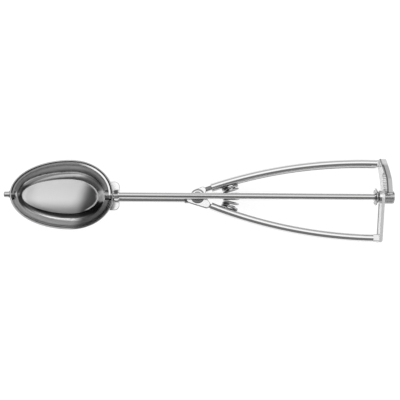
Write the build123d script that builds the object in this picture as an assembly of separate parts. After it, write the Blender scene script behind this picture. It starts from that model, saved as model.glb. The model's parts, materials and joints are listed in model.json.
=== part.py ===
from build123d import *
from math import acos, asin, atan2, ceil, cos, degrees, hypot, pi, radians, sin, sqrt, tan
import os

# A lever ice cream scoop with an oval bowl, all stainless steel. Squeezing the lever against the
# fixed handle drives a rack past a pinion on the spindle, which swings a wiper through the bowl.
#
# Construction frame, in millimetres: X runs along the spindle from the bowl to the tail, Z points up
# out of the bowl's mouth, and the origin is where the handle pivot's axis crosses the spindle's axis.
# The finished parts are moved so that the origin lies under the middle of the whole scoop.

# Bowl: the lower half of an egg of revolution about the spindle, with an upright rim
BOWL_TO_PIVOT = 76.0  # widest section to the handle pivot
BOWL_FRONT = 36.2  # widest section to the front tip
BOWL_BACK = 25.6  # widest section to the back tip
BOWL_HALF_WIDTH = 20.8
BOWL_WALL = 0.9
BOWL_RIM_HEIGHT = 2.6  # rim above the spindle's axis
BOWL_RIM_ROUND = 0.3

# Wiper: a strip that lies against the bowl's inside and turns with the spindle
WIPER_GAP = 0.3
WIPER_THICKNESS = 1.0
WIPER_WIDTH = 6.4
WIPER_REST_ANGLE = 4.0  # strip's middle below the rim's plane, at rest and at full squeeze
HUB_RADIUS = 2.9
HUB_LENGTH = 2.5
HUB_PIN_RADIUS = 0.6

# Spindle and what turns with it
SPINDLE_RADIUS = 1.8
SPINDLE_DOME = 0.4
RUNNING_GAP = 0.06  # radial, between a turning shaft and its bore
END_GAP = 0.1  # along an axis, between faces that turn past each other
FRONT_PIN_RADIUS = 1.3
FRONT_HEAD_RADIUS = 1.85
FRONT_HEAD_LENGTH = 3.1
FRONT_WASHER_RADIUS = 2.4
FRONT_WASHER_THICKNESS = 0.6
COLLAR_RADIUS = 2.7
COLLAR_LENGTH = 1.7
STAR_RADIUS = 5.1
STAR_HUB_RADIUS = 3.0
STAR_THICKNESS = 0.6
STAR_DISH = 1.1
STAR_POINTS = 8

# Bowl bracket, shank and ferrule
BRACKET_WIDTH = 17.4
BRACKET_THICKNESS = 1.8
BRACKET_BACK = 2.7  # behind the bowl's back tip
BRACKET_CORNER = 3.0
LUG_THICKNESS = 2.2
LUG_RADIUS = 3.2
LUG_FOOT_RADIUS = 1.8
LUG_FOOT_SPREAD = 2.2
BUSH_WALL = 0.8
SHANK_RADIUS = 2.0
SHANK_SIDE = -1.6  # Y of the shank, which lies beside and below the spindle
TONGUE_WIDTH = 3.4
TONGUE_END = -3.1
FERRULE_START = -7.9
FERRULE_END = -5.2
FERRULE_WALL = 0.45

# Handle pivot: two fixed cheeks about a spacer, the lever's two ears outside them, and one rivet
RIVET_GAP = 0.2  # spindle to the rivet's head under it
SPACER_RADIUS = 2.5
SPACER_LENGTH = 5.0
PLATE_THICKNESS = 1.0
CHEEK_RADIUS = 4.0
CHEEK_SHANK_RADIUS = 2.4
CHEEK_SHANK_X = -4.4
CHEEK_BAR_RADIUS = 2.2
EAR_RADIUS = 4.3
EAR_BAR_RADIUS = 2.0
RIVET_RADIUS = 1.5
RIVET_HEAD_RADIUS = 2.8
RIVET_HEAD_HEIGHT = 0.85
RIVET_HEAD_ROUND = 0.75
PLATE_EDGE_ROUND = 0.3

# Handles: both have the same bent bar in the same rolled grip, set at their own angle to the spindle
HANDLE_RADIUS = 291.0  # bend of the grip's outer edge
PIVOT_OFFSET = 4.7  # grip's outer edge beyond the pivot
LEVER_TILT = 20.7
FIXED_TILT = 22.7
GRIP_HEIGHT = 4.6  # across the handle, in the plane of the squeeze
GRIP_DEPTH = 11.0  # along Z
GRIP_WALL = 1.0
GRIP_SEAM = 3.4
GRIP_NEAR = 10.0  # grip's front end from the pivot
LEVER_GRIP_GAP = 2.0  # grip's back end to the tail plate
FIXED_GRIP_GAP = 3.9
BAR_CLEARANCE = 0.1  # bar to the inside of its grip
BAR_DEPTH = 7.2
BAR_ROUND = 0.5
BAR_NEAR = 4.6  # bar's front end from the pivot
EAR_REACH = 4.8  # ears' ends on the lever's bar, from the pivot
CHEEK_REACH = 7.2  # cheeks' ends on the fixed bar

# Return spring: a coil whose axis is an arc about the pivot, between a seat on each handle
SPRING_ARC = 20.5
COIL_RADIUS = 4.6
SPRING_WIRE = 1.3
HALF_TURNS = 11
SPRING_TOUCH = 0.02  # between the end turns and their seats
SEAT_THICKNESS = 0.5
SEAT_GAP = 0.25
SPIGOT_CLEARANCE = 0.75
SPIGOT_LENGTH = 1.8
STEM_CLEARANCE = 0.2  # stud to the grip's seam

# Tail: the fixed tail plate carries the spindle, and the lever's rack plate passes behind it
TAIL_PLATE_X = 109.8  # inner face
TAIL_PLATE_THICKNESS = 1.8
TAIL_EYE_RADIUS = 4.0
TAIL_CORNER_RADIUS = 1.0
TAIL_BUSH_WALL = 1.1
TAIL_FLANGE_LENGTH = 1.4
PLATE_MARGIN = 0.4  # plate above and below the bar that is welded to it
PLATE_PROUD = 0.3  # plate beyond the outer side of its grip
PLATE_BEND = 1.5  # plate's outer corner, seen from above
SOCKET_ROUND = 1.0  # plate's socket round the bar's end
RACK_PLATE_GAP = 0.3  # tail plate to rack plate, at their closest
RACK_PLATE_THICKNESS = 3.1
RACK_TIP_GAP = 0.3  # pinion's tips to the slot
RACK_FOOT_DROP = 3.1  # toothed arm's end below the handles' middle plane
RACK_TOP_WEB = 1.4
RACK_TOP_END = 1.4  # Y where the web over the pinion starts
RACK_FOOT_END = -2.3  # Y where the toothed edge starts
RACK_CORNER_RISE = 7.0  # rack plate's far corner above the handles' middle plane
RACK_CORNER_ROUND = 1.2

# Rack and pinion
GEAR_MODULE = 0.7
PINION_TEETH = 10
PRESSURE_ANGLE = 28.0
ADDENDUM = 0.8  # in modules
DEDENDUM = 1.0  # in modules
BACKLASH = 0.1  # along the pitch line
PINION_LENGTH = 5.9
PINION_ROUND = 1.0
FLANK_POINTS = 4

# Worked out from the dimensions above
BOWL_X = -BOWL_TO_PIVOT
FRONT_TIP = BOWL_X - BOWL_FRONT
BACK_TIP = BOWL_X + BOWL_BACK
WIPER_INSET = BOWL_WALL + WIPER_GAP
WIPER_INNER = WIPER_INSET + WIPER_THICKNESS
LUG_BACK = BACK_TIP + BRACKET_BACK
SHAFT_BORE = SPINDLE_RADIUS + RUNNING_GAP
HANDLE_REACH = HANDLE_RADIUS - PIVOT_OFFSET
MIDDLE_RADIUS = HANDLE_RADIUS - GRIP_HEIGHT / 2
GRIP_INNER_RADIUS = HANDLE_RADIUS - GRIP_HEIGHT
BAR_HEIGHT = GRIP_HEIGHT - 2 * (GRIP_WALL + BAR_CLEARANCE)
CHEEK_Z = SPACER_LENGTH / 2 + PLATE_THICKNESS / 2  # from the handles' middle plane
EAR_Z = CHEEK_Z + PLATE_THICKNESS + END_GAP
HEAD_START = EAR_Z + PLATE_THICKNESS / 2 + END_GAP / 2
HEAD_END = HEAD_START + RIVET_HEAD_HEIGHT
HANDLE_Z = -(SPINDLE_RADIUS + RIVET_GAP + HEAD_END)  # middle plane of both handles
SEAT_RADIUS = COIL_RADIUS + SPRING_WIRE / 2
SPIGOT_RADIUS = COIL_RADIUS - SPRING_WIRE / 2 - SPIGOT_CLEARANCE
STEM_RADIUS = GRIP_SEAM / 2 - STEM_CLEARANCE
PITCH = pi * GEAR_MODULE
PITCH_RADIUS = GEAR_MODULE * PINION_TEETH / 2
BASE_RADIUS = PITCH_RADIUS * cos(radians(PRESSURE_ANGLE))
TIP_RADIUS = PITCH_RADIUS + ADDENDUM * GEAR_MODULE
ROOT_RADIUS = PITCH_RADIUS - DEDENDUM * GEAR_MODULE
TAIL_PLATE_OUTER = TAIL_PLATE_X + TAIL_PLATE_THICKNESS
PINION_START = TAIL_PLATE_OUTER + END_GAP
SPINDLE_TURN = 180 - 2 * WIPER_REST_ANGLE
RACK_RUN = PITCH_RADIUS * radians(SPINDLE_TURN)
RACK_INNER = hypot(TAIL_PLATE_OUTER, RACK_RUN - RACK_FOOT_END) + RACK_PLATE_GAP
RACK_OUTER = RACK_INNER + RACK_PLATE_THICKNESS
RACK_MIDDLE = (RACK_INNER + RACK_OUTER) / 2
LEVER_TURN = SPINDLE_TURN * PITCH_RADIUS / RACK_MIDDLE
LEVER_TRAVEL = RACK_MIDDLE * sin(radians(LEVER_TURN))
FAR = 400.0  # larger than any part


def egg_outline(inset):
    """The bowl's egg outline seen from above, inset from its outer skin."""
    half_width = BOWL_HALF_WIDTH - inset
    front = EllipticalCenterArc((BOWL_X, 0), BOWL_FRONT - inset, half_width, 90, arc_size=180)
    back = EllipticalCenterArc((BOWL_X, 0), BOWL_BACK - inset, half_width, -90, arc_size=180)
    return make_face([front, back])


def egg_side(inset):
    """One side of the egg outline, closed along the spindle's axis."""
    half_width = BOWL_HALF_WIDTH - inset
    front = EllipticalCenterArc((BOWL_X, 0), BOWL_FRONT - inset, half_width, 90, arc_size=90)
    back = EllipticalCenterArc((BOWL_X, 0), BOWL_BACK - inset, half_width, 0, arc_size=90)
    return make_face([front, back, Line((FRONT_TIP + inset, 0), (BACK_TIP - inset, 0))])


def egg_body(inset):
    """A whole egg of revolution about the spindle's axis, with its seam at the bottom."""
    return revolve(Rot(-90, 0, 0) * egg_side(inset), Axis.X)


def bowl_form(inset, rim):
    """The lower half of the egg, drawn straight up from the axis to the rim."""
    return revolve(egg_side(inset), Axis.X, -180) + extrude(egg_outline(inset), rim, dir=(0, 0, 1))


def rod_x(radius, start, end):
    """A round bar along the spindle's axis."""
    return Pos((start + end) / 2) * Rot(0, 90, 0) * Cylinder(radius, end - start)


def rod_z(radius, bottom, top):
    """A round bar along the pivot's axis."""
    return Pos(0, 0, (bottom + top) / 2) * Cylinder(radius, top - bottom)


def slab_x(sketch_yz, start, end):
    """A profile in the YZ plane, drawn out along X."""
    return extrude(Plane.YZ.offset(start) * sketch_yz, end - start, dir=(1, 0, 0))


def plate_z(sketch_xy, middle, thickness=PLATE_THICKNESS):
    """A flat plate about a height on Z."""
    return extrude(Pos(0, 0, middle - thickness / 2) * sketch_xy, thickness, dir=(0, 0, 1))


def round_rim(plate, side):
    """Rounds the edge of a flat plate's upper face, or of its lower one where side is -1."""
    face = plate.faces().sort_by(Axis.Z)[-1 if side > 0 else 0]
    return fillet(face.outer_wire().edges(), PLATE_EDGE_ROUND)


def hull(*circles):
    """The outline round circles, each given as x, y and radius, whose seams face inward."""
    middle_x = sum(x for x, y, radius in circles) / len(circles)
    middle_y = sum(y for x, y, radius in circles) / len(circles)
    edges = []
    for x, y, radius in circles:
        inward = degrees(atan2(middle_y - y, middle_x - x))
        edges += (Pos(x, y) * Rot(0, 0, inward) * Circle(radius)).edges()
    return make_hull(edges)


def bowl():
    shell = bowl_form(0, BOWL_RIM_HEIGHT) - bowl_form(BOWL_WALL, BOWL_RIM_HEIGHT + BOWL_WALL)
    rim_edges = shell.edges().group_by(Axis.Z)[-1]
    shell = fillet(rim_edges, min(BOWL_RIM_ROUND, BOWL_WALL / 3))
    shell -= rod_x(FRONT_PIN_RADIUS + RUNNING_GAP, FRONT_TIP - BOWL_WALL, BOWL_X)
    return shell - rod_x(SHAFT_BORE, BOWL_X, BACK_TIP + BOWL_WALL)


def wiper_blade():
    """A strip of one width from pole to pole, with a round eye about the axis at each end."""
    strip = Circle(WIPER_WIDTH / 2) + Pos(FAR / 2) * Rectangle(FAR, WIPER_WIDTH)
    strip = Rot(0, 0, -WIPER_REST_ANGLE) * strip
    blade = egg_body(WIPER_INSET) & slab_x(strip, FRONT_TIP, BACK_TIP)
    blade -= egg_body(WIPER_INNER)
    blade -= rod_x(FRONT_PIN_RADIUS, FRONT_TIP, BOWL_X)
    return blade - rod_x(SPINDLE_RADIUS, BOWL_X, BACK_TIP)


def pole_sag(length, inset, radius):
    """How far the egg's skin falls back from its pole at a radius from the axis."""
    half_width = BOWL_HALF_WIDTH - inset
    return (length - inset) * (1 - cos(asin(radius / half_width)))


def hub_end():
    """The hub's back face, clear of the curved inside of the wiper's eye."""
    return BACK_TIP - WIPER_INNER - pole_sag(BOWL_BACK, WIPER_INNER, HUB_RADIUS) - END_GAP


def wiper_hub():
    end = hub_end()
    hub = rod_x(HUB_RADIUS, end - HUB_LENGTH, end) - rod_x(SPINDLE_RADIUS, end - HUB_LENGTH, end)
    return hub - hub_pin()


def hub_pin():
    """The cross pin that locks the hub to the spindle."""
    middle = hub_end() - HUB_LENGTH / 2
    return Pos(middle) * Cylinder(HUB_PIN_RADIUS, 2 * HUB_RADIUS)


def front_pin():
    """The pin that carries the wiper's front eye in the bowl, with a head at each end."""
    neck = FRONT_TIP - END_GAP - FRONT_WASHER_THICKNESS
    head = rod_x(FRONT_HEAD_RADIUS, neck - FRONT_HEAD_LENGTH, neck)
    head = fillet(head.edges().group_by(Axis.X)[0], FRONT_PIN_RADIUS / 3)
    eye = FRONT_TIP + WIPER_INNER + pole_sag(BOWL_FRONT, WIPER_INNER, FRONT_HEAD_RADIUS)
    inner_head = rod_x(FRONT_HEAD_RADIUS, eye + END_GAP, eye + END_GAP + WIPER_THICKNESS)
    return head + rod_x(FRONT_PIN_RADIUS, neck, eye + END_GAP) + inner_head


def front_washer():
    end = FRONT_TIP - END_GAP
    start = end - FRONT_WASHER_THICKNESS
    return rod_x(FRONT_WASHER_RADIUS, start, end) - rod_x(FRONT_PIN_RADIUS, start, end)


def spindle_rod():
    start = hub_end() - HUB_LENGTH
    end = PINION_START + PINION_LENGTH + SPINDLE_DOME
    rod = rod_x(SPINDLE_RADIUS, start, end)
    rod = fillet(rod.edges().group_by(Axis.X)[-1], SPINDLE_DOME)
    return rod - hub_pin()


def bowl_bracket():
    """A flat web brazed to the bowl's back, with an upright lug that carries the spindle."""
    web_start = BACK_TIP - BOWL_BACK / 2
    web_length = LUG_BACK - web_start
    web = Pos((web_start + LUG_BACK) / 2, 0) * Rectangle(web_length, BRACKET_WIDTH)
    web = fillet(web.vertices().group_by(Axis.X)[-1], BRACKET_CORNER)
    foot_z = HANDLE_Z
    lug = hull(
        (0, 0, LUG_RADIUS),
        (LUG_FOOT_SPREAD, foot_z, LUG_FOOT_RADIUS),
        (-LUG_FOOT_SPREAD, foot_z, LUG_FOOT_RADIUS),
    )
    bracket = round_rim(plate_z(web, foot_z, BRACKET_THICKNESS), 1)
    bracket += slab_x(lug, LUG_BACK - LUG_THICKNESS, LUG_BACK)
    bracket -= egg_body(0)
    return bracket - rod_x(SHAFT_BORE + BUSH_WALL, LUG_BACK - LUG_THICKNESS, LUG_BACK)


def front_bush():
    """The bush in the bracket's lug."""
    start = LUG_BACK - LUG_THICKNESS
    end = LUG_BACK + BUSH_WALL
    return rod_x(SHAFT_BORE + BUSH_WALL, start, end) - rod_x(SHAFT_BORE, start, end)


def shank_place():
    return Pos(0, SHANK_SIDE, HANDLE_Z)


def shank():
    """The fixed rod from the bowl's bracket to the pivot, flattened between the cheeks."""
    tongue_length = TONGUE_END - FERRULE_END
    tongue = Pos(FERRULE_END + tongue_length / 2) * Box(tongue_length, TONGUE_WIDTH, SPACER_LENGTH)
    return shank_place() * (rod_x(SHANK_RADIUS, LUG_BACK, FERRULE_END) + tongue)


def shank_ferrule():
    ring = rod_x(SHANK_RADIUS + FERRULE_WALL, FERRULE_START, FERRULE_END)
    return shank_place() * (ring - rod_x(SHANK_RADIUS, FERRULE_START, FERRULE_END))


def bar_angle(distance, arc_radius=MIDDLE_RADIUS):
    """Angle, in the handle's own frame, of the point on a handle arc at a distance from the pivot."""
    rise = arc_radius**2 - distance**2 - HANDLE_REACH**2
    return degrees(asin(rise / (2 * distance * HANDLE_REACH)))


def bend_turn(distance):
    """Turn about the handle arc's centre that reaches a distance from the pivot."""
    angle = radians(bar_angle(distance))
    return degrees(atan2(distance * cos(angle), distance * sin(angle) + HANDLE_REACH))


def bend_along_handle(section, near, far):
    """A section in the YZ plane, bent about the handle arc's centre between two distances."""
    centre_line = Axis((0, -HANDLE_REACH, 0), (0, 0, -1))
    start = bend_turn(near)
    return revolve(section.rotate(centre_line, start), centre_line, bend_turn(far) - start)


def handle_section(sketch):
    """Sets a section's middle on the handle's middle line at the pivot."""
    return Plane.YZ * Pos(PIVOT_OFFSET - GRIP_HEIGHT / 2, HANDLE_Z) * sketch


def as_lever(part):
    return Rot(0, 0, LEVER_TILT) * part


def as_fixed(part):
    return mirror(Rot(0, 0, FIXED_TILT) * part, Plane.XZ)


def fixed_reach():
    """Distance from the pivot at which the fixed handle's middle line meets its tail plate."""
    tilt = radians(FIXED_TILT)
    aside = TAIL_PLATE_X - HANDLE_REACH * sin(tilt)
    rise = sqrt(MIDDLE_RADIUS**2 - aside**2) - HANDLE_REACH * cos(tilt)
    return hypot(TAIL_PLATE_X, rise)


def grip(end):
    """A rolled sheet grip with an oval section and a seam on its inner side."""
    outer = Rot(0, 0, 90) * SlotOverall(GRIP_DEPTH, GRIP_HEIGHT)
    inner = Rot(0, 0, 90) * SlotOverall(GRIP_DEPTH - 2 * GRIP_WALL, GRIP_HEIGHT - 2 * GRIP_WALL)
    seam = Pos(-GRIP_HEIGHT / 2) * Rectangle(GRIP_HEIGHT, GRIP_SEAM)
    section = handle_section(outer - inner - seam)
    return bend_along_handle(section, GRIP_NEAR, end)


def bar(reach):
    """A bent flat bar, longer than its reach to the tail plate."""
    section = handle_section(RectangleRounded(BAR_HEIGHT, BAR_DEPTH, BAR_ROUND))
    return bend_along_handle(section, BAR_NEAR, reach + BAR_HEIGHT)


def socket(reach, gap):
    """The part of a tail plate that is folded round its bar, up to the grip's end."""
    section = RectangleRounded(GRIP_HEIGHT, BAR_DEPTH + 2 * PLATE_MARGIN, SOCKET_ROUND)
    start = reach - gap + END_GAP
    return bend_along_handle(handle_section(section), start, reach + BAR_HEIGHT)


def inside_rack():
    return rod_z(RACK_INNER, HANDLE_Z - GRIP_DEPTH, HANDLE_Z + GRIP_DEPTH)


def before_tail_plate():
    return Pos(TAIL_PLATE_X - FAR / 2) * Box(FAR, FAR, FAR)


def lever_bar():
    return as_lever(bar(RACK_INNER)) & inside_rack()


def fixed_bar():
    """The fixed handle's bar, thinned at its front to sit between the cheeks."""
    full_bar = as_fixed(bar(fixed_reach())) & before_tail_plate()
    step = 2 * (GRIP_NEAR - END_GAP)
    gap = Box(step, 2 * step, BAR_DEPTH) - Box(step, 2 * step, SPACER_LENGTH)
    return full_bar - Pos(0, 0, HANDLE_Z) * gap


def lever_grip():
    return as_lever(grip(RACK_INNER - LEVER_GRIP_GAP))


def fixed_grip():
    return as_fixed(grip(fixed_reach() - FIXED_GRIP_GAP))


def ear_outline():
    angle = radians(LEVER_TILT + bar_angle(EAR_REACH))
    end = (EAR_REACH * cos(angle), EAR_REACH * sin(angle), EAR_BAR_RADIUS)
    return hull((0, 0, EAR_RADIUS), end) - Circle(RIVET_RADIUS + RUNNING_GAP)


def lever_ear(side):
    return round_rim(plate_z(ear_outline(), HANDLE_Z + side * EAR_Z), side)


def cheek_outline():
    angle = -radians(FIXED_TILT + bar_angle(CHEEK_REACH))
    end = (CHEEK_REACH * cos(angle), CHEEK_REACH * sin(angle), CHEEK_BAR_RADIUS)
    shank_end = (CHEEK_SHANK_X, SHANK_SIDE, CHEEK_SHANK_RADIUS)
    return hull((0, 0, CHEEK_RADIUS), shank_end, end) - Circle(RIVET_RADIUS)


def fixed_cheek(side):
    return round_rim(plate_z(cheek_outline(), HANDLE_Z + side * CHEEK_Z), side)


def pivot_spacer():
    bottom = HANDLE_Z - SPACER_LENGTH / 2
    top = HANDLE_Z + SPACER_LENGTH / 2
    return rod_z(SPACER_RADIUS, bottom, top) - rod_z(RIVET_RADIUS, bottom, top)


def pivot_rivet():
    """The rivet through ears, cheeks and spacer, with a rounded head above and a flat one below."""
    top_head = rod_z(RIVET_HEAD_RADIUS, HANDLE_Z + HEAD_START, HANDLE_Z + HEAD_END)
    top_head = fillet(top_head.edges().group_by(Axis.Z)[-1], RIVET_HEAD_ROUND)
    low_head = rod_z(RIVET_HEAD_RADIUS, HANDLE_Z - HEAD_END, HANDLE_Z - HEAD_START)
    return top_head + low_head + rod_z(RIVET_RADIUS, HANDLE_Z - HEAD_START, HANDLE_Z + HEAD_START)


def arc_point(radius, angle):
    return Vector(radius * cos(radians(angle)), radius * sin(radians(angle)), HANDLE_Z)


def seat_angle(tilt):
    """Angle from the spindle of a seat's back face, just clear of the grip's inner side."""
    edge_rise = degrees(SEAT_GAP / SPRING_ARC)
    return tilt + bar_angle(SPRING_ARC, GRIP_INNER_RADIUS) - edge_rise


def spring_seat(tilt, handle_bar):
    """A flanged stud on the handle's bar, whose spigot holds the spring's end."""
    angle = seat_angle(tilt)
    back = Plane(arc_point(SPRING_ARC, angle), x_dir=(0, 0, 1), z_dir=arc_point(1, angle + 90) - arc_point(0, 0))
    stem_length = GRIP_HEIGHT
    stud = Pos(0, 0, stem_length / 2) * Cylinder(STEM_RADIUS, stem_length)
    stud += Pos(0, 0, -SEAT_THICKNESS / 2) * Cylinder(SEAT_RADIUS, SEAT_THICKNESS)
    spigot = Pos(0, 0, -SEAT_THICKNESS - SPIGOT_LENGTH / 2) * Cylinder(SPIGOT_RADIUS, SPIGOT_LENGTH)
    return trim_behind_bar(back * (stud + spigot), handle_bar)


def trim_behind_bar(stud, handle_bar):
    """Cuts a stud off where it meets the bar, and keeps the side that faces the spring."""
    return (stud - handle_bar).solids().sort_by(SortBy.VOLUME)[-1]


def lever_spring_seat():
    return spring_seat(LEVER_TILT, lever_bar())


def fixed_spring_seat():
    upright_bar = mirror(fixed_bar(), Plane.XZ)
    return mirror(spring_seat(FIXED_TILT, upright_bar), Plane.XZ)


def coil_points():
    """Where the wire crosses the handles' middle plane, by turns inside and outside the arc."""
    lift = SEAT_THICKNESS + SPRING_WIRE / 2 + SPRING_TOUCH
    rising = HALF_TURNS - 2
    points = []
    for index in range(HALF_TURNS + 1):
        share = min(max((index - 1) / rising, 0), 1)
        radius = SPRING_ARC + COIL_RADIUS * (-1) ** (index + 1)
        clear = degrees(asin(lift / radius))
        low = clear - seat_angle(FIXED_TILT)
        high = seat_angle(LEVER_TILT) - clear
        points.append(arc_point(radius, low + (high - low) * share))
    return points


def return_spring():
    """Half turns of wire, by turns over and under the middle plane, which join smoothly."""
    points = coil_points()
    coil = None
    for index, (start, end) in enumerate(zip(points, points[1:])):
        side = (-1) ** index
        top = (start + end) / 2 + Vector(0, 0, side * (end - start).length / 2)
        path = ThreePointArc(start, top, end)
        wire_section = Plane(start, z_dir=(0, 0, side)) * Circle(SPRING_WIRE / 2)
        turn = sweep(wire_section, path=path)
        coil = turn if coil is None else coil + turn
    return coil


def bar_end_box(tilt, reach):
    """Y and Z limits of a tail plate where it meets its handle's bar."""
    middle = reach * sin(radians(tilt + bar_angle(reach)))
    half_depth = BAR_DEPTH / 2 + PLATE_MARGIN
    near = middle - GRIP_HEIGHT / 2
    far = middle + GRIP_HEIGHT / 2 + PLATE_PROUD
    return near, far, HANDLE_Z - half_depth, HANDLE_Z + half_depth


def tail_plan(far):
    """The tail plate seen from above, with a bend that runs out at its end face."""
    plan = Pos(TAIL_PLATE_X, -far - END_GAP) * Rectangle(TAIL_PLATE_THICKNESS, FAR, align=Align.MIN)
    bend = plan.vertices().group_by(Axis.Y)[0].sort_by(Axis.X)[-1]
    return fillet(bend, PLATE_BEND)


def tail_plate():
    """The fixed handle's tail: a tapered plate from the bar's end up to an eye on the spindle."""
    near, far, low, high = bar_end_box(FIXED_TILT, fixed_reach())
    corner = TAIL_CORNER_RADIUS
    side = corner - far
    outline = hull((0, 0, TAIL_EYE_RADIUS), (side, low + corner, corner), (side, high - corner, corner))
    plate = plate_z(tail_plan(far), 0, FAR) & slab_x(outline, TAIL_PLATE_X / 2, FAR)
    plate += as_fixed(socket(fixed_reach(), FIXED_GRIP_GAP)) & before_tail_plate()
    plate -= fixed_bar()
    return plate - rod_x(SHAFT_BORE + TAIL_BUSH_WALL, TAIL_PLATE_X, TAIL_PLATE_OUTER)


def tail_bush():
    """The spindle's back bearing, flanged on the inner side of the tail plate."""
    start = TAIL_PLATE_X - TAIL_FLANGE_LENGTH
    end = PINION_START - END_GAP
    bush = rod_x(TAIL_EYE_RADIUS, start, TAIL_PLATE_X)
    bush = fillet(bush.edges().group_by(Axis.X)[0], BUSH_WALL / 2)
    bush += rod_x(SHAFT_BORE + TAIL_BUSH_WALL, start + BUSH_WALL, end)
    return bush - rod_x(SHAFT_BORE, start, end)


def rack_slot():
    """The open slot in which the pinion runs, from the toothed edge up to the web over it."""
    clear = TIP_RADIUS + RACK_TIP_GAP
    low = -PITCH_RADIUS + ADDENDUM * GEAR_MODULE
    slot = Circle(clear) + Pos(-FAR / 2) * Rectangle(FAR, 2 * clear)
    return Pos(LEVER_TRAVEL) * slot & Pos(0, low + FAR / 2) * Rectangle(2 * FAR, FAR)


def rack_outline():
    """The rack plate seen along the spindle: a fork whose lower arm bears the teeth."""
    near, far, low, high = bar_end_box(LEVER_TILT, RACK_INNER)
    top = TIP_RADIUS + RACK_TIP_GAP + RACK_TOP_WEB
    corners = [
        (RACK_FOOT_END, HANDLE_Z - RACK_FOOT_DROP),
        (far, low),
        (far, HANDLE_Z + RACK_CORNER_RISE),
        (LEVER_TRAVEL, top),
        (RACK_TOP_END, top),
        (RACK_TOP_END, 0),
        (RACK_FOOT_END, 0),
    ]
    outline = make_face(Polyline(*corners, close=True))
    away_from_mouth = outline.vertices().sort_by(lambda corner: abs(corner.Y))[2:]
    return fillet(away_from_mouth, RACK_CORNER_ROUND) - rack_slot()


def rack_plan():
    """The rack plate seen from above: a band about the pivot, with a bend at its end face."""
    near, far, low, high = bar_end_box(LEVER_TILT, RACK_INNER)
    band = Circle(RACK_OUTER) - Circle(RACK_INNER)
    band &= Pos(0, far + END_GAP) * Rectangle(FAR, FAR, align=(Align.MIN, Align.MAX))
    bend = band.vertices().group_by(Axis.Y)[-1].sort_by(Axis.X)[-1]
    return fillet(bend, PLATE_BEND)


def rack_gap():
    """The space between two rack teeth, at the mesh point, as a bar along X."""
    slope = tan(radians(PRESSURE_ANGLE))
    half = PITCH / 4 + BACKLASH / 4
    tip = (ADDENDUM + 0.5) * GEAR_MODULE
    root = DEDENDUM * GEAR_MODULE
    corners = [
        (half + tip * slope, tip - PITCH_RADIUS),
        (-half - tip * slope, tip - PITCH_RADIUS),
        (-half + root * slope, -root - PITCH_RADIUS),
        (half - root * slope, -root - PITCH_RADIUS),
    ]
    margin = RACK_PLATE_THICKNESS / 2
    gap = make_face(Polyline(*corners, close=True))
    return slab_x(gap, RACK_INNER - margin, RACK_OUTER + margin)


def rack():
    """The lever's rack plate, curved about the pivot, with its teeth set radially."""
    plate = plate_z(rack_plan(), 0, FAR) & slab_x(rack_outline(), RACK_INNER / 2, FAR)
    plate += as_lever(socket(RACK_INNER, LEVER_GRIP_GAP)) & inside_rack()
    plate -= lever_bar()
    tooth_turn = degrees(PITCH / RACK_MIDDLE)
    last = ceil((LEVER_TRAVEL + PITCH) / PITCH)
    for index in range(-1, last + 1):
        plate -= Rot(0, 0, index * tooth_turn) * rack_gap()
    return plate


def involute(angle):
    return tan(angle) - angle


def tooth_half_angle(radius):
    """Half the angle that a pinion tooth spans at a radius, on its involute flanks."""
    at_pitch = (PITCH - BACKLASH) / 4 / PITCH_RADIUS
    pressure = acos(min(BASE_RADIUS / radius, 1))
    return at_pitch + involute(radians(PRESSURE_ANGLE)) - involute(pressure)


def polar(radius, angle):
    return Vector(radius * cos(angle), radius * sin(angle))


def tooth_outline():
    """One tooth that points along the sketch's X, from inside the root circle to the tip."""
    rise = TIP_RADIUS - BASE_RADIUS
    radii = [BASE_RADIUS + rise * step / FLANK_POINTS for step in range(FLANK_POINTS + 1)]
    right = [polar(radius, -tooth_half_angle(radius)) for radius in radii]
    left = [polar(radius, tooth_half_angle(radius)) for radius in reversed(radii)]
    inside = ROOT_RADIUS - GEAR_MODULE
    foot_right = polar(inside, -tooth_half_angle(BASE_RADIUS))
    foot_left = polar(inside, tooth_half_angle(BASE_RADIUS))
    tip = ThreePointArc(right[-1], polar(TIP_RADIUS, 0), left[0])
    edges = [Line(foot_right, right[0]), Spline(*right), tip, Spline(*left)]
    edges += [Line(left[-1], foot_left), Line(foot_left, foot_right)]
    return make_face(edges)


def pinion():
    """Ten involute teeth, one of them down in the rack at rest, with a rounded back end."""
    outline = Circle(ROOT_RADIUS)
    for index in range(PINION_TEETH):
        outline += Rot(0, 0, -90 + index * 360 / PINION_TEETH) * tooth_outline()
    end = PINION_START + PINION_LENGTH
    envelope = rod_x(TIP_RADIUS + BACKLASH, PINION_START, end)
    envelope = fillet(envelope.edges().group_by(Axis.X)[-1], PINION_ROUND)
    gear = slab_x(outline, PINION_START, end) & envelope
    return gear - rod_x(SPINDLE_RADIUS, PINION_START, end)


def star_end():
    return TAIL_PLATE_X - TAIL_FLANGE_LENGTH - 2 * END_GAP


def star_washer():
    """The dished star washer that keeps the spindle from sliding back."""
    end = star_end()
    dish = [
        (end, SPINDLE_RADIUS),
        (end, STAR_HUB_RADIUS),
        (end - STAR_DISH, STAR_RADIUS),
        (end - STAR_DISH - STAR_THICKNESS, STAR_RADIUS),
        (end - STAR_THICKNESS, STAR_HUB_RADIUS),
        (end - STAR_THICKNESS, SPINDLE_RADIUS),
    ]
    washer = revolve(make_face(Polyline(*dish, close=True)), Axis.X)
    notch_radius = pi * STAR_RADIUS / STAR_POINTS / 2
    notch = Pos(STAR_RADIUS) * Circle(notch_radius)
    for index in range(STAR_POINTS):
        turned = Rot(0, 0, (index + 0.5) * 360 / STAR_POINTS) * notch
        washer -= slab_x(turned, end - STAR_DISH - 2 * STAR_THICKNESS, end)
    return washer


def spindle_collar():
    end = star_end() - STAR_THICKNESS
    collar = rod_x(COLLAR_RADIUS, end - COLLAR_LENGTH, end)
    return collar - rod_x(SPINDLE_RADIUS, end - COLLAR_LENGTH, end)


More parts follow.
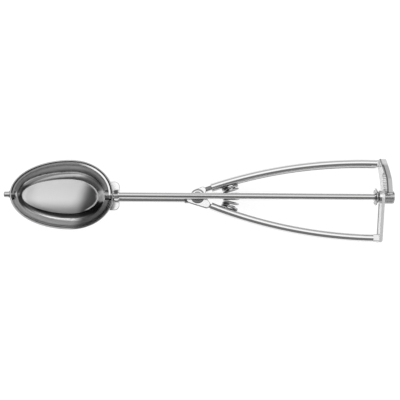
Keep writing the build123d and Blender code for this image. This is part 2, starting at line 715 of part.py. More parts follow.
PARTS = {
    "bowl": bowl(),
    "bowl_bracket": bowl_bracket(),
    "front_bush": front_bush(),
    "shank": shank(),
    "shank_ferrule": shank_ferrule(),
    "fixed_cheek_upper": fixed_cheek(1),
    "fixed_cheek_lower": fixed_cheek(-1),
    "pivot_spacer": pivot_spacer(),
    "pivot_rivet": pivot_rivet(),
    "fixed_bar": fixed_bar(),
    "fixed_grip": fixed_grip(),
    "fixed_spring_seat": fixed_spring_seat(),
    "return_spring": return_spring(),
    "tail_plate": tail_plate(),
    "tail_bush": tail_bush(),
    "lever_ear_upper": lever_ear(1),
    "lever_ear_lower": lever_ear(-1),
    "lever_bar": lever_bar(),
    "lever_grip": lever_grip(),
    "lever_spring_seat": lever_spring_seat(),
    "rack": rack(),
    "spindle_rod": spindle_rod(),
    "wiper_blade": wiper_blade(),
    "wiper_hub": wiper_hub(),
    "hub_pin": hub_pin(),
    "front_pin": front_pin(),
    "front_washer": front_washer(),
    "star_washer": star_washer(),
    "spindle_collar": spindle_collar(),
    "pinion": pinion(),
}


def base_point(parts):
    """The middle of the whole scoop's underside."""
    boxes = [part.bounding_box() for part in parts]
    low = Vector(*(min(tuple(box.min)[axis] for box in boxes) for axis in range(3)))
    high = Vector(*(max(tuple(box.max)[axis] for box in boxes) for axis in range(3)))
    print("size", high - low)
    return Vector((low.X + high.X) / 2, (low.Y + high.Y) / 2, low.Z)


os.makedirs("parts", exist_ok=True)
base = base_point(PARTS.values())
print("pivot axis and spindle axis meet at", -base)
print("spindle turn", SPINDLE_TURN, "lever turn", LEVER_TURN, "ratio", RACK_MIDDLE / PITCH_RADIUS)
for name, part in PARTS.items():
    export_step(Pos(*(-base)) * part, f"parts/{name}.step")
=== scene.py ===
"""Looks for the lever ice cream scoop: steel finishes, the return spring, a pale studio and the camera."""

import json
from math import asin, cos, degrees, pi, radians, sin

import bpy
from mathutils import Matrix, Vector


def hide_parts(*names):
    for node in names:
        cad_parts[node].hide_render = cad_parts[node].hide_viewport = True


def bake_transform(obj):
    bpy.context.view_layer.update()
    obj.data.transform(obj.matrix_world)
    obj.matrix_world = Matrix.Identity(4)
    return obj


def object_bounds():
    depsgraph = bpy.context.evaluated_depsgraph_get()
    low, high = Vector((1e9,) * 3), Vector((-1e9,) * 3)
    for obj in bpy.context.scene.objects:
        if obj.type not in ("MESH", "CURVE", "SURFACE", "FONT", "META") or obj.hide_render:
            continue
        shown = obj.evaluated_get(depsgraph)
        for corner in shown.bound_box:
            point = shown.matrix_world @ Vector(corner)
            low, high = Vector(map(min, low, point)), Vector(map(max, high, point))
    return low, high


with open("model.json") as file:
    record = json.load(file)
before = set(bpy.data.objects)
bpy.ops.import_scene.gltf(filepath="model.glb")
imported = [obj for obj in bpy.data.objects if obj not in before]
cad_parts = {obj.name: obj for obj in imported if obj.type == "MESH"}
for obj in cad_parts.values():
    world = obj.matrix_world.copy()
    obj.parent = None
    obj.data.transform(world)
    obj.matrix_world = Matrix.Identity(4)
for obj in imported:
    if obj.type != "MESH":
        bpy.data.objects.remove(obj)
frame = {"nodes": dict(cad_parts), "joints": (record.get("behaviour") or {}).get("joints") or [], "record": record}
cad_low, cad_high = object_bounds()

JOINTS = {joint["name"]: joint for joint in frame["joints"]}
SPINDLE_POINT = Vector(JOINTS["spindle_turn"]["pos_m"])  # where the pivot's axis crosses the spindle's axis
PIVOT_POINT = Vector(JOINTS["lever_squeeze"]["pos_m"])
MM = 0.001
BLACK = (0.0, 0.0, 0.0, 1.0)
WHITE = (1.0, 1.0, 1.0, 1.0)

# Camera, which looks down on the scoop and into the bowl's mouth
VIEW_WIDTH = 0.240  # width of the spindle's level that fills the picture
VIEW_DISTANCE = 0.440
VIEW_TILT = 4.0  # degrees towards the fixed handle's side
VIEW_ROLL = 0.41  # degrees about the line of sight
VIEW_CENTRE = Vector((1.44, -2.56, 0.0)) * MM  # from the spindle point
SENSOR = 36.0

# Studio: a long half round tent that only reflections see, over a white floor
FLOOR_SIZE = 3.0
FLOOR_GAP = 0.0002  # under the lowest point
FLOOR_TONE = 0.30
FLOOR_ROUGHNESS = 0.9
FLOOR_GLOW = 0.77
WORLD_STRENGTH = 1.12
TENT_RADIUS = 0.8
TENT_BOWL_END = -0.55
TENT_TAIL_END = 1.2
TENT_FACETS = 48
TENT_PEAK = 1.25
TENT_TONES = (  # degrees from overhead towards the lever's side, and share of the peak
    (-90.0, 0.20),
    (-26.0, 0.14),
    (-10.0, 0.24),
    (2.0, 1.0),
    (32.0, 1.0),
    (50.0, 0.45),
    (90.0, 0.42),
)
TENT_END_TONE = 0.10
TENT_END_FADE = 0.25
LENS_RADIUS = 0.030  # the camera's dark lens, as the bowl mirrors it
LENS_SIDES = 32

# Return spring: a coil bent along an arc about the pivot, between the two spring seats
SPRING_ARC = 20.5 * MM
COIL_RADIUS = 4.6 * MM
WIRE_RADIUS = 0.65 * MM
WIRE_CHAMFER = 0.2  # share of the wire's radius
SEAT_LIFT = 1.17 * MM  # wire's middle above a seat's back face
SEAT_ANGLES = (-20.23, 18.23)  # degrees from the spindle, fixed seat and lever seat
HALF_TURNS = 11
HALF_TURN_STEPS = 20
WIRE_SIDES = 14

# Grain: how fine it is along X, Y and Z
DRAWN_GRAIN = (200.0, 3000.0, 3000.0)
LONG_GRAIN = (300.0, 2500.0, 2500.0)
MILL_GRAIN = (400.0, 1800.0, 1800.0)
TURNED_GRAIN = (3000.0, 800.0, 800.0)
UPRIGHT_GRAIN = (1500.0, 1500.0, 400.0)
EVEN_GRAIN = (1500.0, 1500.0, 1500.0)
GRAIN_DEPTH = 0.02 * MM
GRAIN_TONE = 0.03  # tone that the grain adds or takes
GRAIN_DETAIL = 4.0
CLOUD_SCALE = 90.0
CLOUD_DETAIL = 3.0
STEELS = {  # tone, roughness, how far wear changes it, strength of the grain's bump, and grain
    "grip_steel": (0.78, 0.13, 0.03, 0.15, DRAWN_GRAIN),
    "lever_grip_steel": (0.78, 0.13, 0.03, 0.15, DRAWN_GRAIN),
    "rod_steel": (0.64, 0.13, 0.03, 0.15, DRAWN_GRAIN),
    "bowl_satin_painted_light": (0.97, 0.10, 0.03, 0.15, LONG_GRAIN),
    "wiper_steel": (0.20, 0.16, 0.04, 0.2, LONG_GRAIN),
    "gear_steel": (0.62, 0.22, 0.05, 0.2, LONG_GRAIN),
    # the bars' steel: its dark tone is painted shade where their ends show by the ears
    "mill_shade_steel": (0.22, 0.32, 0.06, 0.4, MILL_GRAIN),
    "bush_steel": (0.30, 0.28, 0.05, 0.2, TURNED_GRAIN),
    "hub_steel": (0.38, 0.28, 0.05, 0.2, EVEN_GRAIN),
    "rivet_steel": (0.30, 0.22, 0.05, 0.2, EVEN_GRAIN),
    "spring_steel": (0.50, 0.18, 0.04, 0.2, EVEN_GRAIN),
    "spring_washer": (0.55, 0.20, 0.05, 0.2, EVEN_GRAIN),
    "plate_steel": (0.80, 0.18, 0.04, 0.2, EVEN_GRAIN),
    "eye_steel": (0.80, 0.18, 0.04, 0.2, EVEN_GRAIN),
    "bracket_steel": (0.82, 0.20, 0.04, 0.2, EVEN_GRAIN),
    "rack_steel": (0.82, 0.20, 0.04, 0.2, UPRIGHT_GRAIN),
    "tail_steel": (0.82, 0.20, 0.04, 0.2, UPRIGHT_GRAIN),
}

# Bowl: polished, with painted reflection rings round the bottom and painted shade towards its back end
BOWL_TONE = 0.56  # outside
INSIDE_SLOPES = (-0.05, 0.0)  # normal's Z where the bowl's outside ends
RING_AXIS = (0.0, 0.04, 1.0)
PAINTED_RING_TONES = (  # normal along the rings' axis, and painted reflection tone
    (0.0, 0.44),
    (0.20, 0.32),
    (0.28, 0.50),
    (0.38, 0.34),
    (0.48, 0.50),
    (0.58, 0.44),
    (0.665, 0.38),
    (0.69, 1.0),
    (0.735, 1.0),
    (0.77, 0.36),
    (0.82, 0.30),
    (0.90, 0.50),
)
RING_FADE = (-76.0 * MM, -69.0 * MM)  # from the spindle point, between the painted reflection rings and the painted shade of the back end
RING_SLANT = -0.1
BACK_SHADE_SIDES = (-9.0 * MM, 2.0 * MM)  # from the spindle, between the two painted shade tones of the back end
BACK_SHADE_TONES = (0.12, 0.32)

# Satin patch that scraping leaves along the bowl's bottom: rougher, and painted pale and milky as a painted
# reflection of the overhead light
PATCH_MIDDLE = -80.0 * MM  # from the spindle point
PATCH_SIDE = 0.3 * MM
PATCH_FRONT = 27.5 * MM  # from the patch's middle
PATCH_BACK = 18.5 * MM
PATCH_HALF_WIDTH = 10.7 * MM
PATCH_EDGE = 0.04
PATCH_ROUGHNESS = 0.55
PATCH_REFLECTION_TONE = 0.97
PATCH_METALLIC = 0.05
PATCH_LEVEL = -8.0 * MM  # from the spindle, where the patch starts to fade upwards
PATCH_FADE = (1.5 * MM, 13.5 * MM)  # the patch's painted reflection fades towards the bowl's back end
PATCH_SLANT = -0.5
PATCH_FRONT_FADE = (-26.0 * MM, -18.0 * MM)
PATCH_FRONT_LEAST = 0.75
PATCH_SIDE_FADE = (-9.5 * MM, -1.0 * MM)
PATCH_SIDE_LEAST = 0.12
PATCH_HIGHLIGHT = (0.82, 0.92, 1.0)  # painted highlight: a bright line round the patch's back end, as shares of its reach
PATCH_HIGHLIGHT_START = (9.0 * MM, 12.0 * MM)
HIGHLIGHT_SPOT = (-60.0 * MM, 0.3 * MM, 4.6 * MM)  # X, Y and radius of a painted highlight where the wiper's boss sits
HIGHLIGHT_SPOT_SHARE = 0.6

# Wiper's strip, with a painted highlight towards the hub
WIPER_HIGHLIGHT_FADE = (-72.0 * MM, -62.0 * MM)  # from the spindle point
WIPER_HIGHLIGHT_TONE = 0.75

# Lever's grip, with painted shade on the side that faces the spindle
INNER_SLOPES = (-0.85, -0.7)  # normal's Y where that side ends
INNER_SHADE_TONE = 0.45

# Stamped sheet's rounded rims: rougher, and painted dark as painted shade
EDGE_SLOPES = (0.90, 0.99)  # normal's Z where a face turns into an edge
SIDE_SLOPES = (0.05, 0.20)  # and where the edge turns into an upright side
EDGE_ROUGHNESS = 0.35
# painted shade: the rounded rims' dark tone
EDGE_SHADE_TONE = 0.12
EDGE_BLEND = 0.2 * MM  # width of a step from one tone to the next

# Ear's eye round the pivot: a ring of painted shade, and a painted shadow on the fixed handle's side of the
# spindle
EYE_SHADE_RING = (3.3 * MM, 4.3 * MM)
EYE_SHADE_RING_TONE = 0.24
EYE_SHADOW = (-1.6 * MM, -1.2 * MM)
EYE_SHADOW_TONE = 0.14

# Bracket: its sheet's edge, painted darker as painted shade, and its upright lug, with a painted shadow on the
# lever's side of the spindle
BRACKET_EDGE_SHADE_TONE = 0.20
LUG_START = 1.3 * MM  # over the handles' middle plane
LUG_TONE = 0.80
LUG_SHADOW_TONE = 0.12

# Tail plates: X from the spindle point, Y and Z from the spindle
PLATE_METALLIC = 0.6
TOP_SLOPES = (0.70, 0.85)  # normal's Z where a face turns into the upper edge
TOP_START = 109.9 * MM  # inner faces' X
TOP_END = 18.5 * MM  # Y of the rack plate's far corner
TOP_FADE = 2.0 * MM
RACK_TOP = (0.48, 0.40)  # tone and roughness of the upper edge
TAIL_TOP = (0.80, 0.45)
RACK_FOOT = -1.5 * MM  # teeth lie under this, the upper edge over it
TAIL_FOOT = -8.0 * MM
# painted light: the pale tone of the teeth
TEETH_LIGHT_TONE = 0.92
RACK_SHADE_LINE = ((10.5 * MM, 5.76 * MM), (23.3 * MM, -0.5 * MM))  # Y and Z of the painted shade line's ends
TAIL_SHADE_LINE = ((-4.0 * MM, -4.8 * MM), (-26.2 * MM, -11.5 * MM))
SHADE_LINE_WIDTH = 2.4 * MM
# painted shade: tone of the line on the inner face and of the rack's border
SHADE_LINE_TONE = 0.10
INWARD_SLOPES = (-0.7, -0.4)  # normal's X where a face turns from looking at the bowl
RACK_SHADE_BORDER = 113.2 * MM  # from the pivot, where the upper edge's painted shade along its inner border ends


def material(name):
    made = bpy.data.materials.new(name)
    made.use_nodes = True
    return made, made.node_tree, made.node_tree.nodes["Principled BSDF"]


def node(tree, kind, **values):
    made = tree.nodes.new(kind)
    for key, value in values.items():
        if hasattr(made, key):
            setattr(made, key, value)
        else:
            made.inputs[key.replace("_", " ")].default_value = value
    return made


def remap(tree, source, low, high, to_low, to_high, smooth=False):
    """A value from one range to another, held at its ends."""
    made = node(tree, "ShaderNodeMapRange")
    if smooth:
        made.interpolation_type = "SMOOTHSTEP"
    made.inputs["From Min"].default_value = low
    made.inputs["From Max"].default_value = high
    made.inputs["To Min"].default_value = to_low
    made.inputs["To Max"].default_value = to_high
    tree.links.new(source, made.inputs["Value"])
    return made.outputs["Result"]


def ramp(tree, source, stops):
    """A tone that runs through stops of position and tone."""
    made = node(tree, "ShaderNodeValToRGB")
    elements = made.color_ramp.elements
    while len(elements) < len(stops):
        elements.new(0.5)
    for element, (position, tone) in zip(elements, stops):
        element.position = position
        element.color = (tone, tone, tone, 1.0)
    tree.links.new(source, made.inputs["Fac"])
    return made.outputs["Color"]


def math_node(tree, operation, first, second=0.0):
    made = node(tree, "ShaderNodeMath", operation=operation)
    for socket, value in zip(made.inputs, (first, second)):
        if isinstance(value, float):
            socket.default_value = value
        else:
            tree.links.new(value, socket)
    return made.outputs["Value"]


def product(tree, *factors):
    made = factors[0]
    for factor in factors[1:]:
        made = math_node(tree, "MULTIPLY", made, factor)
    return made


def sum_of_squares(tree, *values):
    made = math_node(tree, "POWER", values[0], 2.0)
    for value in values[1:]:
        made = math_node(tree, "ADD", made, math_node(tree, "POWER", value, 2.0))
    return made


def object_place(tree):
    """X, Y and Z of a point in the row's frame."""
    place = node(tree, "ShaderNodeTexCoord")
    split = node(tree, "ShaderNodeSeparateXYZ")
    tree.links.new(place.outputs["Object"], split.inputs["Vector"])
    return split.outputs


def distance(tree, place, x, y):
    """Distance from an upright line."""
    ahead = math_node(tree, "SUBTRACT", place["X"], x)
    beside = math_node(tree, "SUBTRACT", place["Y"], y)
    return math_node(tree, "SQRT", sum_of_squares(tree, ahead, beside))


def surface_slope(tree, axis="Z"):
    """The surface normal's part along an axis, which is 1 for Z on a face that looks up."""
    facing = node(tree, "ShaderNodeNewGeometry")
    split = node(tree, "ShaderNodeSeparateXYZ")
    tree.links.new(facing.outputs["Normal"], split.inputs["Vector"])
    return split.outputs[axis]


def mix_into(tree, socket, factor, value):
    """Turns what drives a shader's socket into a value, as far as a mask says."""
    shader = tree.nodes["Principled BSDF"]
    mixed = node(tree, "ShaderNodeMix")
    tree.links.new(factor, mixed.inputs["Factor"])
    tree.links.new(shader.inputs[socket].links[0].from_socket, mixed.inputs["A"])
    mixed.inputs["B"].default_value = value
    tree.links.new(mixed.outputs["Result"], shader.inputs[socket])


def steel(name):
    """Stainless steel with a grain, soft cloudy wear in its roughness and a faint tone change."""
    tone, roughness, spread, bump_strength, grain = STEELS[name]
    made, tree, shader = material(name)
    links = tree.links
    shader.inputs["Metallic"].default_value = 1.0
    place = node(tree, "ShaderNodeTexCoord")
    stretch = node(tree, "ShaderNodeMapping")
    stretch.inputs["Scale"].default_value = grain
    links.new(place.outputs["Object"], stretch.inputs["Vector"])
    fine = node(tree, "ShaderNodeTexNoise", Scale=1.0, Detail=GRAIN_DETAIL)
    links.new(stretch.outputs["Vector"], fine.inputs["Vector"])
    cloud = node(tree, "ShaderNodeTexNoise", Scale=CLOUD_SCALE, Detail=CLOUD_DETAIL)
    links.new(place.outputs["Object"], cloud.inputs["Vector"])
    wear = remap(tree, cloud.outputs["Fac"], 0.0, 1.0, roughness - spread, roughness + spread)
    links.new(wear, shader.inputs["Roughness"])
    shade = remap(tree, fine.outputs["Fac"], 0.0, 1.0, tone - GRAIN_TONE, tone + GRAIN_TONE)
    links.new(shade, shader.inputs["Base Color"])
    bump = node(tree, "ShaderNodeBump", Strength=bump_strength, Distance=GRAIN_DEPTH)
    links.new(fine.outputs["Fac"], bump.inputs["Height"])
    links.new(bump.outputs["Normal"], shader.inputs["Normal"])
    return made


def painted_reflection_tone(tree, place):
    """Painted reflection rings set by the normal's slope, which give way to the painted shade tones of the bowl's
    back end.
    """
    facing = node(tree, "ShaderNodeNewGeometry")
    upright = node(tree, "ShaderNodeVectorMath", operation="DOT_PRODUCT")
    tree.links.new(facing.outputs["Normal"], upright.inputs[0])
    upright.inputs[1].default_value = RING_AXIS
    bands = ramp(tree, upright.outputs["Value"], PAINTED_RING_TONES)
    slanted = math_node(tree, "ADD", place["X"], math_node(tree, "MULTIPLY", place["Y"], RING_SLANT))
    start, end = (SPINDLE_POINT.x + stop for stop in RING_FADE)
    low, high = (SPINDLE_POINT.y + side for side in BACK_SHADE_SIDES)
    faded = node(tree, "ShaderNodeMix", data_type="FLOAT")
    tree.links.new(remap(tree, slanted, start, end, 0.0, 1.0, smooth=True), faded.inputs["Factor"])
    tree.links.new(bands, faded.inputs["A"])
    tree.links.new(remap(tree, place["Y"], low, high, *BACK_SHADE_TONES), faded.inputs["B"])
    return faded.outputs["Result"]


def tint(tree, tone):
    """Multiplies a shader's base colour by a tone."""
    color = tree.nodes["Principled BSDF"].inputs["Base Color"]
    tinted = node(tree, "ShaderNodeMix", data_type="RGBA", blend_type="MULTIPLY")
    tinted.inputs["Factor"].default_value = 1.0
    tree.links.new(color.links[0].from_socket, tinted.inputs["A"])
    tree.links.new(tone, tinted.inputs["B"])
    tree.links.new(tinted.outputs["Result"], color)


def patch_reach(tree, along, aside):
    """How far out a point lies, from 0 in the patch's middle to 1 on its outline."""
    forward = math_node(tree, "DIVIDE", math_node(tree, "MINIMUM", along, 0.0), PATCH_FRONT)
    backward = math_node(tree, "DIVIDE", math_node(tree, "MAXIMUM", along, 0.0), PATCH_BACK)
    across = math_node(tree, "DIVIDE", aside, PATCH_HALF_WIDTH)
    return sum_of_squares(tree, across, forward, backward)


def painted_reflection_share(tree, along, aside):
    """How strong the patch's painted reflection is: less at its back end, at its front and on the fixed handle's
    side.
    """
    slanted = math_node(tree, "ADD", along, math_node(tree, "MULTIPLY", aside, PATCH_SLANT))
    back = remap(tree, slanted, *PATCH_FADE, 1.0, 0.0, smooth=True)
    side = remap(tree, aside, *PATCH_SIDE_FADE, PATCH_SIDE_LEAST, 1.0, smooth=True)
    front = remap(tree, along, *PATCH_FRONT_FADE, PATCH_FRONT_LEAST, 1.0, smooth=True)
    return product(tree, back, side, front)


def patch_highlight(tree, along, reach):
    """A painted highlight: the bright line just inside the patch's outline, at its back end."""
    inner, middle, outer = PATCH_HIGHLIGHT
    rising = remap(tree, reach, inner, middle, 0.0, 1.0)
    falling = remap(tree, reach, middle, outer, 1.0, 0.0)
    return product(tree, rising, falling, remap(tree, along, *PATCH_HIGHLIGHT_START, 0.0, 1.0))


def satin_bowl_with_painted_light():
    """Polished steel, scraped to a satin patch along the bottom of the bowl, which is painted pale as a painted
    reflection; the rest of the inside has painted reflection rings and painted shade.
    """
    made = steel("bowl_satin_painted_light")
    tree = made.node_tree
    place = object_place(tree)
    inside = remap(tree, surface_slope(tree), *INSIDE_SLOPES, 0.0, 1.0)
    tint(tree, painted_reflection_tone(tree, place))
    along = math_node(tree, "SUBTRACT", place["X"], SPINDLE_POINT.x + PATCH_MIDDLE)
    aside = math_node(tree, "SUBTRACT", place["Y"], SPINDLE_POINT.y + PATCH_SIDE)
    reach = patch_reach(tree, along, aside)
    outline = remap(tree, reach, 1.0 - PATCH_EDGE, 1.0 + PATCH_EDGE, 1.0, 0.0, smooth=True)
    low = remap(tree, place["Z"], SPINDLE_POINT.z + PATCH_LEVEL, SPINDLE_POINT.z, 1.0, 0.0)
    patch = product(tree, outline, low, inside)
    mix_into(tree, "Roughness", patch, PATCH_ROUGHNESS)
    spot_x, spot_y, spot_radius = HIGHLIGHT_SPOT
    away = distance(tree, place, SPINDLE_POINT.x + spot_x, SPINDLE_POINT.y + spot_y)
    painted_highlight = remap(tree, away, spot_radius / 2, spot_radius, HIGHLIGHT_SPOT_SHARE, 0.0, smooth=True)
    pale = product(tree, patch, painted_reflection_share(tree, along, aside))
    for other in (patch_highlight(tree, along, reach), painted_highlight):
        pale = math_node(tree, "MAXIMUM", pale, other)
    pale = product(tree, pale, inside)
    # painted reflection and painted highlights: the patch, its bright back line and the spot turn pale and less
    # metallic
    mix_into(tree, "Base Color", pale, PATCH_REFLECTION_TONE)
    milky = remap(tree, pale, 0.0, 1.0, 1.0, PATCH_METALLIC)
    tree.links.new(milky, tree.nodes["Principled BSDF"].inputs["Metallic"])
    mix_into(tree, "Base Color", math_node(tree, "SUBTRACT", 1.0, inside), BOWL_TONE)
    return made


def wiper_steel():
    """Spring strip, dark at its front, with a painted highlight towards the hub."""
    made = steel("wiper_steel")
    tree = made.node_tree
    start, end = (SPINDLE_POINT.x + stop for stop in WIPER_HIGHLIGHT_FADE)
    painted_highlight = remap(tree, object_place(tree)["X"], start, end, 0.0, 1.0)
    mix_into(tree, "Base Color", painted_highlight, WIPER_HIGHLIGHT_TONE)
    return made


def lever_grip_steel():
    """Polished grip, with painted shade on the side that faces the spindle."""
    made = steel("lever_grip_steel")
    tree = made.node_tree
    inner = remap(tree, surface_slope(tree, "Y"), *INNER_SLOPES, 1.0, 0.0)
    mix_into(tree, "Base Color", inner, INNER_SHADE_TONE)
    return made


def stamped(name, edge_shade_tone):
    """Stamped sheet with bright faces and a rounded rim, which is rougher and painted darker as painted shade."""
    made = steel(name)
    tree = made.node_tree
    level = math_node(tree, "ABSOLUTE", surface_slope(tree))
    face_end = remap(tree, level, *EDGE_SLOPES, 1.0, 0.0, smooth=True)
    side_end = remap(tree, level, *SIDE_SLOPES, 0.0, 1.0)
    edge = product(tree, face_end, side_end)
    mix_into(tree, "Base Color", edge, edge_shade_tone)
    mix_into(tree, "Roughness", edge, EDGE_ROUGHNESS)
    return made


def eye_steel():
    """Ear plate with a ring of painted shade round the pivot and a painted shadow beside the spindle."""
    made = stamped("eye_steel", EDGE_SHADE_TONE)
    tree = made.node_tree
    place = object_place(tree)
    away = distance(tree, place, SPINDLE_POINT.x, SPINDLE_POINT.y)
    inner, outer = EYE_SHADE_RING
    rising = remap(tree, away, inner, inner + EDGE_BLEND, 0.0, 1.0)
    falling = remap(tree, away, outer, outer + EDGE_BLEND, 1.0, 0.0)
    mix_into(tree, "Base Color", product(tree, rising, falling), EYE_SHADE_RING_TONE)
    start, end = (SPINDLE_POINT.y + side for side in EYE_SHADOW)
    mix_into(tree, "Base Color", remap(tree, place["Y"], start, end, 1.0, 0.0), EYE_SHADOW_TONE)
    return made


def bracket_steel():
    """Stamped sheet whose upright lug is dull from brazing and carries a painted shadow on the lever's side of the
    spindle.
    """
    made = stamped("bracket_steel", BRACKET_EDGE_SHADE_TONE)
    tree = made.node_tree
    place = object_place(tree)
    foot = PIVOT_POINT.z + LUG_START
    lug = remap(tree, place["Z"], foot, foot + EDGE_BLEND, 0.0, 1.0)
    mix_into(tree, "Base Color", lug, LUG_TONE)
    painted_shadow = remap(tree, place["Y"], SPINDLE_POINT.y, SPINDLE_POINT.y + EDGE_BLEND, 0.0, 1.0)
    mix_into(tree, "Base Color", product(tree, lug, painted_shadow), LUG_SHADOW_TONE)
    return made


def upper_edge(tree, place):
    """What looks up on a tail plate, behind its inner face and short of the far corner."""
    upward = remap(tree, surface_slope(tree), *TOP_SLOPES, 0.0, 1.0, smooth=True)
    start = SPINDLE_POINT.x + TOP_START
    behind = remap(tree, place["X"], start, start + EDGE_BLEND, 0.0, 1.0)
    corner = SPINDLE_POINT.y + TOP_END
    before = remap(tree, place["Y"], corner, corner + TOP_FADE, 1.0, 0.0, smooth=True)
    return product(tree, upward, behind, before)


def face_shade_line(tree, place, ends):
    """A painted shade line along a tail plate's inner face between two points, given as their Y and Z from the
    spindle.
    """
    (first_side, first_level), (last_side, last_level) = ends
    share = remap(tree, place["Y"], SPINDLE_POINT.y + first_side, SPINDLE_POINT.y + last_side, 0.0, 1.0)
    level = remap(tree, share, 0.0, 1.0, SPINDLE_POINT.z + first_level, SPINDLE_POINT.z + last_level)
    off = math_node(tree, "ABSOLUTE", math_node(tree, "SUBTRACT", place["Z"], level))
    near = remap(tree, off, SHADE_LINE_WIDTH, SHADE_LINE_WIDTH + EDGE_BLEND, 1.0, 0.0)
    return product(tree, near, remap(tree, surface_slope(tree, "X"), *INWARD_SLOPES, 1.0, 0.0))


def edged_plate(name, top, line, foot, border=0.0):
    """Tail plate steel whose narrow upper edge is sheared, and so more matt than its faces.

    What looks up from under the foot's level, as teeth do, is painted pale as painted light. The upper edge has
    painted shade up to the border's distance from the pivot.
    """
    made = steel(name)
    tree = made.node_tree
    place = object_place(tree)
    upper = upper_edge(tree, place)
    low = SPINDLE_POINT.z + foot
    over = remap(tree, place["Z"], low, low + EDGE_BLEND, 0.0, 1.0)
    teeth = product(tree, upper, math_node(tree, "SUBTRACT", 1.0, over))
    mix_into(tree, "Base Color", teeth, TEETH_LIGHT_TONE)
    milky = remap(tree, teeth, 0.0, 1.0, PLATE_METALLIC, 0.0)
    tree.links.new(milky, tree.nodes["Principled BSDF"].inputs["Metallic"])
    edge = product(tree, upper, over)
    tone, roughness = top
    mix_into(tree, "Base Color", edge, tone)
    mix_into(tree, "Roughness", edge, roughness)
    away = distance(tree, place, PIVOT_POINT.x, PIVOT_POINT.y)
    bordered = product(tree, edge, remap(tree, away, border, border + EDGE_BLEND, 1.0, 0.0))
    mix_into(tree, "Base Color", bordered, SHADE_LINE_TONE)
    mix_into(tree, "Base Color", face_shade_line(tree, place, line), SHADE_LINE_TONE)
    return made


FINISHES = {  # by material slot
    "grip_steel": steel("grip_steel"),
    "rod_steel": steel("rod_steel"),
    "plate_steel": stamped("plate_steel", EDGE_SHADE_TONE),
    "spring_steel": steel("spring_steel"),
    "bush_steel": steel("bush_steel"),
}
# steel of the bars, whose dark tone is painted shade
MILL_SHADE_STEEL = steel("mill_shade_steel")
HUB_STEEL = steel("hub_steel")
NODE_FINISHES = {  # nodes that differ from their slot
    "bowl": satin_bowl_with_painted_light(),
    "bowl_bracket": bracket_steel(),
    "front_bush": FINISHES["rod_steel"],
    "lever_ear_upper": eye_steel(),
    "pivot_rivet": steel("rivet_steel"),
    "lever_bar": MILL_SHADE_STEEL,
    "lever_grip": lever_grip_steel(),
    "fixed_bar": MILL_SHADE_STEEL,
    "wiper_blade": wiper_steel(),
    "wiper_hub": HUB_STEEL,
    "hub_pin": HUB_STEEL,
    "star_washer": steel("spring_washer"),
    "spindle_collar": FINISHES["rod_steel"],
    "tail_bush": FINISHES["grip_steel"],
    "pinion": steel("gear_steel"),
    "rack": edged_plate("rack_steel", RACK_TOP, RACK_SHADE_LINE, RACK_FOOT, RACK_SHADE_BORDER),
    "tail_plate": edged_plate("tail_steel", TAIL_TOP, TAIL_SHADE_LINE, TAIL_FOOT),
}


def finish_frame():
    slots = {part["node"]: part["material_slot"] for part in frame["record"]["subparts"]}
    for name, shown in frame["nodes"].items():
        shown.data.materials.clear()
        shown.data.materials.append(NODE_FINISHES.get(name) or FINISHES[slots[name]])


def add_mesh(name, points, faces):
    mesh = bpy.data.meshes.new(name)
    mesh.from_pydata(points, [], faces)
    made = bpy.data.objects.new(name, mesh)
    bpy.context.scene.collection.objects.link(made)
    return made


def spring_path():
    """The wire's middle line, whose first and last half turns lie flat on their seats."""
    points = []
    steps = HALF_TURNS * HALF_TURN_STEPS
    for step in range(steps + 1):
        half_turn = step / HALF_TURN_STEPS
        phase = pi * half_turn
        share = min(max((half_turn - 1) / (HALF_TURNS - 2), 0.0), 1.0)
        radius = SPRING_ARC - COIL_RADIUS * cos(phase)
        clear = degrees(asin(SEAT_LIFT / radius))
        low, high = SEAT_ANGLES[0] + clear, SEAT_ANGLES[1] - clear
        turn = radians(low + (high - low) * share)
        offset = Vector((radius * cos(turn), radius * sin(turn), COIL_RADIUS * sin(phase)))
        points.append(PIVOT_POINT + offset)
    return points


def tube(name, path, radius, sides, chamfer):
    """A round bar along a path, with a small chamfer and a flat cap at each end."""
    rings = []
    across = Vector((0.0, 0.0, 1.0))
    last = len(path) - 1
    cap_share = 1.0 - chamfer
    stations = [(0, cap_share), *((index, 1.0) for index in range(len(path))), (last, cap_share)]
    for order, (index, share) in enumerate(stations):
        ahead = (path[min(index + 1, last)] - path[max(index - 1, 0)]).normalized()
        across = (across - ahead * across.dot(ahead)).normalized()
        beside = ahead.cross(across)
        end = {0: -1.0, len(stations) - 1: 1.0}.get(order, 0.0)
        middle = path[index] + ahead * end * radius * chamfer
        turns = [2 * pi * side / sides for side in range(sides)]
        rings.append([middle + (across * cos(t) + beside * sin(t)) * radius * share for t in turns])
    points = [point for ring in rings for point in ring]
    faces = [tuple(range(sides))]
    for ring in range(len(rings) - 1):
        for side in range(sides):
            after = (side + 1) % sides
            low, high = ring * sides, (ring + 1) * sides
            faces.append((low + side, high + side, high + after, low + after))
    faces.append(tuple(len(points) - 1 - side for side in range(sides)))
    made = add_mesh(name, points, faces)
    for face in made.data.polygons:
        face.use_smooth = len(face.vertices) == 4
    return made


def make_spring():
    path = spring_path()
    spring = tube("spring_coil", path, WIRE_RADIUS, WIRE_SIDES, WIRE_CHAMFER)
    spring.data.materials.append(FINISHES["spring_steel"])
    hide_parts("return_spring")
    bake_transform(spring)


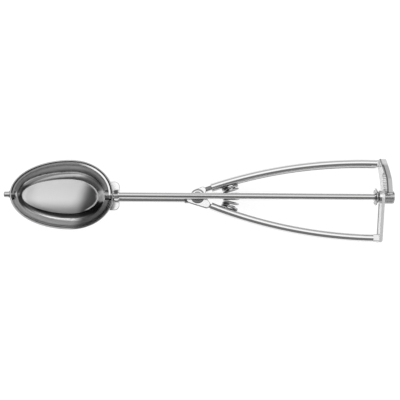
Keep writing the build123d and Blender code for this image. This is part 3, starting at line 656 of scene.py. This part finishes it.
def make_floor():
    """White paper that glows to the camera and in reflections, and takes the scoop's shadow."""
    half = FLOOR_SIZE / 2
    level = cad_low.z - FLOOR_GAP
    corners = [(-half, -half, level), (half, -half, level), (half, half, level), (-half, half, level)]
    floor = add_mesh("floor", corners, [(0, 1, 2, 3)])
    made, tree, shader = material("floor_paper")
    shader.inputs["Base Color"].default_value = (FLOOR_TONE, FLOOR_TONE, FLOOR_TONE, 1.0)
    shader.inputs["Roughness"].default_value = FLOOR_ROUGHNESS
    shader.inputs["Specular IOR Level"].default_value = 0.0
    shader.inputs["Emission Color"].default_value = WHITE
    seen = node(tree, "ShaderNodeLightPath").outputs
    mirrored = math_node(tree, "MAXIMUM", seen["Is Glossy Ray"], seen["Is Transmission Ray"])
    shown = math_node(tree, "MAXIMUM", seen["Is Camera Ray"], mirrored)
    tree.links.new(math_node(tree, "MULTIPLY", shown, FLOOR_GLOW), shader.inputs["Emission Strength"])
    floor.data.materials.append(made)


def show_in_reflections_only(stage_piece):
    stage_piece.visible_camera = False
    stage_piece.visible_diffuse = False
    stage_piece.visible_shadow = False


def make_tent():
    """A half round tent along X with a closed dark end beyond the bowl."""
    points = []
    for x in (TENT_BOWL_END, TENT_TAIL_END):
        for index in range(TENT_FACETS + 1):
            angle = pi * (index / TENT_FACETS - 0.5)
            points.append((x, TENT_RADIUS * sin(angle), TENT_RADIUS * cos(angle)))
    count = TENT_FACETS + 1
    faces = [(i, i + 1, count + i + 1, count + i) for i in range(TENT_FACETS)]
    faces.append(tuple(range(count)))
    tent = add_mesh("tent", points, faces)
    made, tree, shader = material("tent_cloth")
    place = object_place(tree)
    turn = math_node(tree, "ARCTAN2", place["Y"], place["Z"])
    share = remap(tree, turn, -pi / 2, pi / 2, 0.0, 1.0)
    tones = ramp(tree, share, [(over / 180.0 + 0.5, tone) for over, tone in TENT_TONES])
    end = remap(tree, place["X"], TENT_BOWL_END, TENT_BOWL_END + TENT_END_FADE, TENT_END_TONE, 1.0)
    shader.inputs["Base Color"].default_value = BLACK
    shader.inputs["Specular IOR Level"].default_value = 0.0
    shader.inputs["Emission Color"].default_value = WHITE
    tree.links.new(product(tree, tones, end, TENT_PEAK), shader.inputs["Emission Strength"])
    tent.data.materials.append(made)
    show_in_reflections_only(tent)


def make_lens():
    """The camera's lens, dark, where only reflections see it."""
    middle = camera_place()
    corners = []
    for index in range(LENS_SIDES):
        turn = 2 * pi * index / LENS_SIDES
        corners.append(middle + Vector((LENS_RADIUS * cos(turn), LENS_RADIUS * sin(turn), LENS_RADIUS)))
    lens = add_mesh("lens", corners, [tuple(range(LENS_SIDES))])
    made, _, shader = material("lens_black")
    shader.inputs["Base Color"].default_value = BLACK
    shader.inputs["Specular IOR Level"].default_value = 0.0
    lens.data.materials.append(made)
    show_in_reflections_only(lens)


def make_world():
    world = bpy.data.worlds.new("studio")
    world.use_nodes = True
    background = world.node_tree.nodes["Background"]
    background.inputs["Color"].default_value = WHITE
    background.inputs["Strength"].default_value = WORLD_STRENGTH
    bpy.context.scene.world = world


def camera_place():
    back = Vector((0.0, -sin(radians(VIEW_TILT)), cos(radians(VIEW_TILT))))
    return SPINDLE_POINT + VIEW_CENTRE + back * VIEW_DISTANCE


def make_camera():
    data = bpy.data.cameras.new("camera")
    data.sensor_width = SENSOR
    data.lens = SENSOR * VIEW_DISTANCE / VIEW_WIDTH
    camera = bpy.data.objects.new("camera", data)
    turn = Matrix.Rotation(radians(VIEW_TILT), 3, "X") @ Matrix.Rotation(radians(VIEW_ROLL), 3, "Z")
    camera.matrix_world = Matrix.Translation(camera_place()) @ turn.to_4x4()
    bpy.context.scene.collection.objects.link(camera)
    bpy.context.scene.camera = camera


finish_frame()
make_spring()
make_floor()
make_tent()
make_lens()
make_world()
make_camera()
bpy.context.scene.view_settings.view_transform = "Standard"
